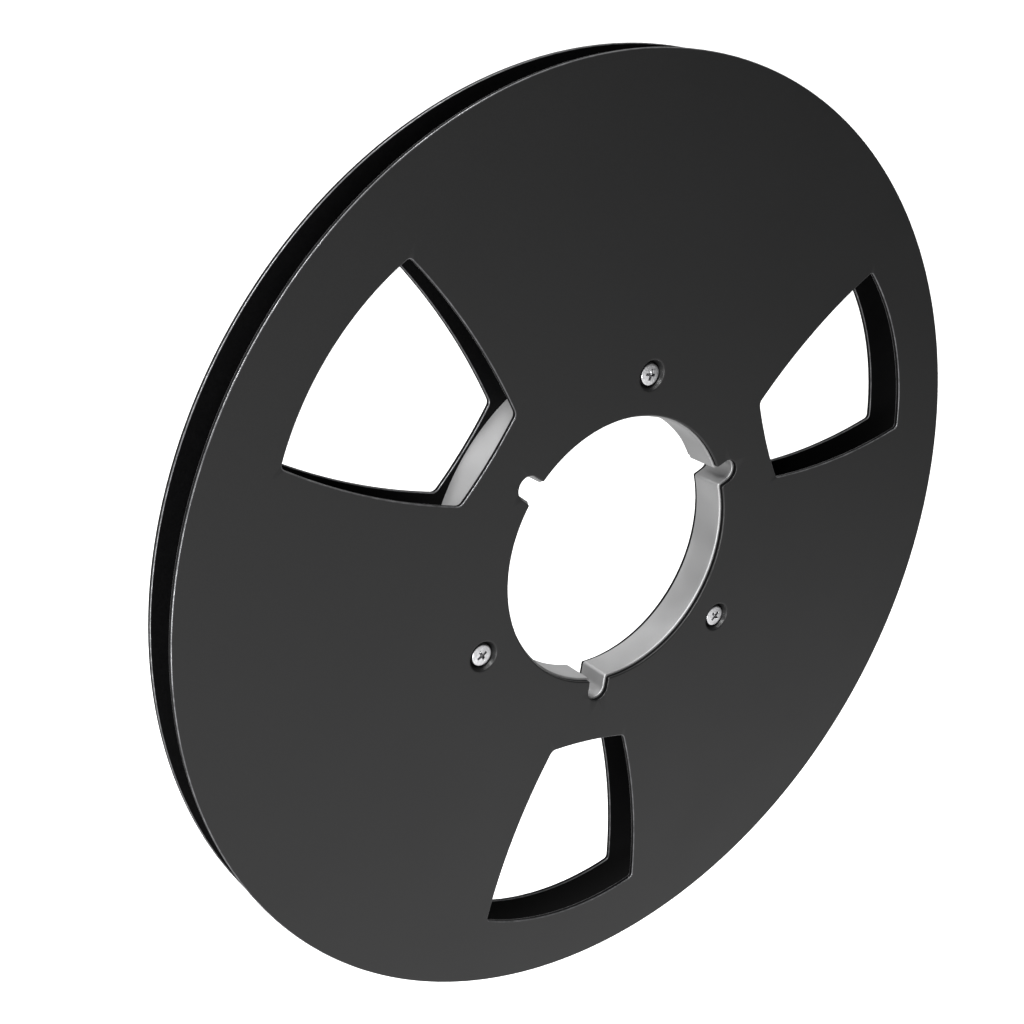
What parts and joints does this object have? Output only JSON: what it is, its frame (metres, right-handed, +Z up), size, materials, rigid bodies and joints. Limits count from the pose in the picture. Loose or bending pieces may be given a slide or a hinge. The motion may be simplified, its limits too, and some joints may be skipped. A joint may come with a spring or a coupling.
{
  "type": "tape reel",
  "caption": "Open-reel tape spool: flat black flanges with tapered windows, screwed to a silver ring hub whose bore has key slots for a studio reel adaptor.",
  "frame": {"origin": "centre of the hub's bore, midway between the flanges", "axes": "+Y along the bore axis towards the rear flange, +Z up, front face towards -Y"},
  "size_m": [0.2666, 0.0126, 0.2666],
  "materials": {
    "flange_black": "satin black anodised",
    "hub_silver": "satin clear anodised",
    "screw_steel": "bright, turned"
  },
  "bodies": {
    "root": {"front_flange": "flange_black", "rear_flange": "flange_black", "hub": "hub_silver", "front_screw_1": "screw_steel", "front_screw_2": "screw_steel", "front_screw_3": "screw_steel", "rear_screw_1": "screw_steel", "rear_screw_2": "screw_steel", "rear_screw_3": "screw_steel"}
  },
  "joints": []
}
